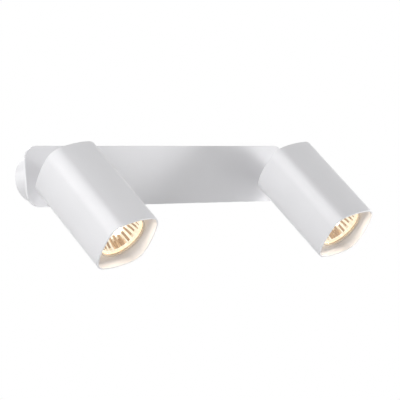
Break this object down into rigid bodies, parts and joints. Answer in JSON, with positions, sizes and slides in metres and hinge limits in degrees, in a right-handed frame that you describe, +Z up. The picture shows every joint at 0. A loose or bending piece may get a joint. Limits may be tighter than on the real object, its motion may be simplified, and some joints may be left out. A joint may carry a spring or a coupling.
{
  "type": "wall spotlight",
  "caption": "White wall light: flat plate on round stand-off cups, carrying rounded-square spot heads that swivel and tilt, each with a twist-lock reflector lamp.",
  "frame": {"origin": "on the wall plane, at the centre of the four wall screws", "axes": "+X along the plate, +Y into the wall, +Z up; the room is on the -Y side"},
  "size_m": [0.358, 0.1462, 0.1242],
  "materials": {
    "plate_coat": "satin",
    "head_coat": "satin",
    "zinc_steel": "satin",
    "brass": "satin",
    "nickel": "polished",
    "nylon": "matte",
    "rubber": "matte",
    "silicone": "satin",
    "ceramic": "satin",
    "mirror_glass": "polished",
    "clear_glass": "polished",
    "burner_glass": "polished"
  },
  "bodies": {
    "frame": {"front_plate": "plate_coat", "left_standoff_cup": "plate_coat", "right_standoff_cup": "plate_coat", "left_wall_disc": "zinc_steel", "right_wall_disc": "zinc_steel", "grub_screws": "zinc_steel", "plate_studs": "zinc_steel", "stud_nuts": "zinc_steel", "wiring_channel": "plate_coat", "channel_cover": "plate_coat", "cover_screws": "zinc_steel", "cable_grommet": "rubber", "terminal_block": "nylon", "terminal_screws": "brass", "earth_screw": "brass", "left_feed_lead": "silicone", "right_feed_lead": "silicone"},
    "left_swivel": {"left_stem": "plate_coat", "left_swivel_washer": "nylon", "left_spring_washer": "zinc_steel", "left_stop_washer": "zinc_steel", "left_swivel_nut": "zinc_steel", "left_stem_leads": "silicone"},
    "left_head": {"left_head_shell": "head_coat", "left_back_cap": "head_coat", "left_cap_screws": "zinc_steel", "left_pivot_screws": "zinc_steel", "left_friction_washers": "nylon", "left_lampholder": "ceramic", "left_holder_contacts": "brass", "left_holder_bracket": "zinc_steel", "left_bracket_screws": "zinc_steel", "left_head_leads": "silicone"},
    "left_lamp": {"left_lamp_reflector": "mirror_glass", "left_lamp_lens": "clear_glass", "left_lamp_burner": "burner_glass", "left_lamp_base": "ceramic", "left_lamp_pins": "nickel"},
    "right_swivel": {"right_stem": "plate_coat", "right_swivel_washer": "nylon", "right_spring_washer": "zinc_steel", "right_stop_washer": "zinc_steel", "right_swivel_nut": "zinc_steel", "right_stem_leads": "silicone"},
    "right_head": {"right_head_shell": "head_coat", "right_back_cap": "head_coat", "right_cap_screws": "zinc_steel", "right_pivot_screws": "zinc_steel", "right_friction_washers": "nylon", "right_lampholder": "ceramic", "right_holder_contacts": "brass", "right_holder_bracket": "zinc_steel", "right_bracket_screws": "zinc_steel", "right_head_leads": "silicone"},
    "right_lamp": {"right_lamp_reflector": "mirror_glass", "right_lamp_lens": "clear_glass", "right_lamp_burner": "burner_glass", "right_lamp_base": "ceramic", "right_lamp_pins": "nickel"}
  },
  "joints": [
    {"name": "left_swivel", "type": "hinge", "parent": "frame", "child": "left_swivel", "pos_m": [-0.1415, -0.0514, 0], "axis": [0, -1, 0], "range_deg": [-179.4, 160.6]},
    {"name": "left_tilt", "type": "hinge", "parent": "left_swivel", "child": "left_head", "pos_m": [-0.1415, -0.0514, 0], "axis": [0.9866, 0, 0.1633], "range_deg": [-48.7, 41.3]},
    {"name": "left_lamp_twist", "type": "hinge", "parent": "left_head", "child": "left_lamp", "pos_m": [-0.14204, -0.05516, 0.00326], "axis": [0.1227, -0.66, -0.7412], "range_deg": [0, 25]},
    {"name": "right_swivel", "type": "hinge", "parent": "frame", "child": "right_swivel", "pos_m": [0.1415, -0.0514, 0], "axis": [0, -1, 0], "range_deg": [-179.4, 160.6]},
    {"name": "right_tilt", "type": "hinge", "parent": "right_swivel", "child": "right_head", "pos_m": [0.1415, -0.0514, 0], "axis": [0.9866, 0, 0.1633], "range_deg": [-48.7, 41.3]},
    {"name": "right_lamp_twist", "type": "hinge", "parent": "right_head", "child": "right_lamp", "pos_m": [0.14096, -0.05516, 0.00326], "axis": [0.1227, -0.66, -0.7412], "range_deg": [0, 25]}
  ]
}
